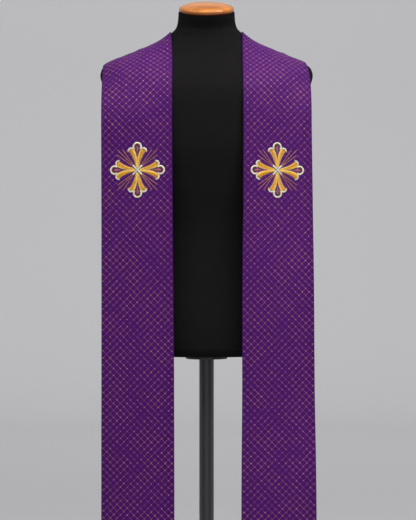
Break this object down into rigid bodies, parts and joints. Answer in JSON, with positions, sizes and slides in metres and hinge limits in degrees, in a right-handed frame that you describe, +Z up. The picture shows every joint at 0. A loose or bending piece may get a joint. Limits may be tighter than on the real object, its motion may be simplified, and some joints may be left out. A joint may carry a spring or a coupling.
{
  "type": "clerical stole on a limbless dress form",
  "caption": "Long purple brocade stole with a gold embroidered cross on each front panel, hanging open over a limbless dress form on a round base.",
  "frame": {"origin": "centre of the round base's underside, on the floor", "axes": "+Z up along the pole, the stole's front panels face -Y, the panel shown at the left of a front view is at -X"},
  "size_m": [0.4719, 0.4, 1.5856],
  "materials": {
    "purple_brocade": "woven purple brocade with a fine copper diagonal lattice, soft sheen",
    "gold_stitch": "gold satin stitch, silky",
    "pale_cord": "cream and silver-grey corded stitch",
    "black_jersey": "matt black jersey",
    "varnished_wood": "turned and varnished, glossy",
    "painted_steel": "dark grey powder coat, satin"
  },
  "bodies": {
    "root": {"stole_left_band": "purple_brocade", "stole_right_band": "purple_brocade", "cross_left_petals_top": "gold_stitch", "cross_left_cord_top": "pale_cord", "cross_left_petals_right": "gold_stitch", "cross_left_cord_right": "pale_cord", "cross_left_petals_bottom": "gold_stitch", "cross_left_cord_bottom": "pale_cord", "cross_left_petals_left": "gold_stitch", "cross_left_cord_left": "pale_cord", "cross_left_saltire": "pale_cord", "cross_right_petals_top": "gold_stitch", "cross_right_cord_top": "pale_cord", "cross_right_petals_right": "gold_stitch", "cross_right_cord_right": "pale_cord", "cross_right_petals_bottom": "gold_stitch", "cross_right_cord_bottom": "pale_cord", "cross_right_petals_left": "gold_stitch", "cross_right_cord_left": "pale_cord", "cross_right_saltire": "pale_cord", "form_torso": "black_jersey", "form_neck_cap": "varnished_wood", "form_pole": "painted_steel", "form_base": "painted_steel"}
  },
  "joints": []
}
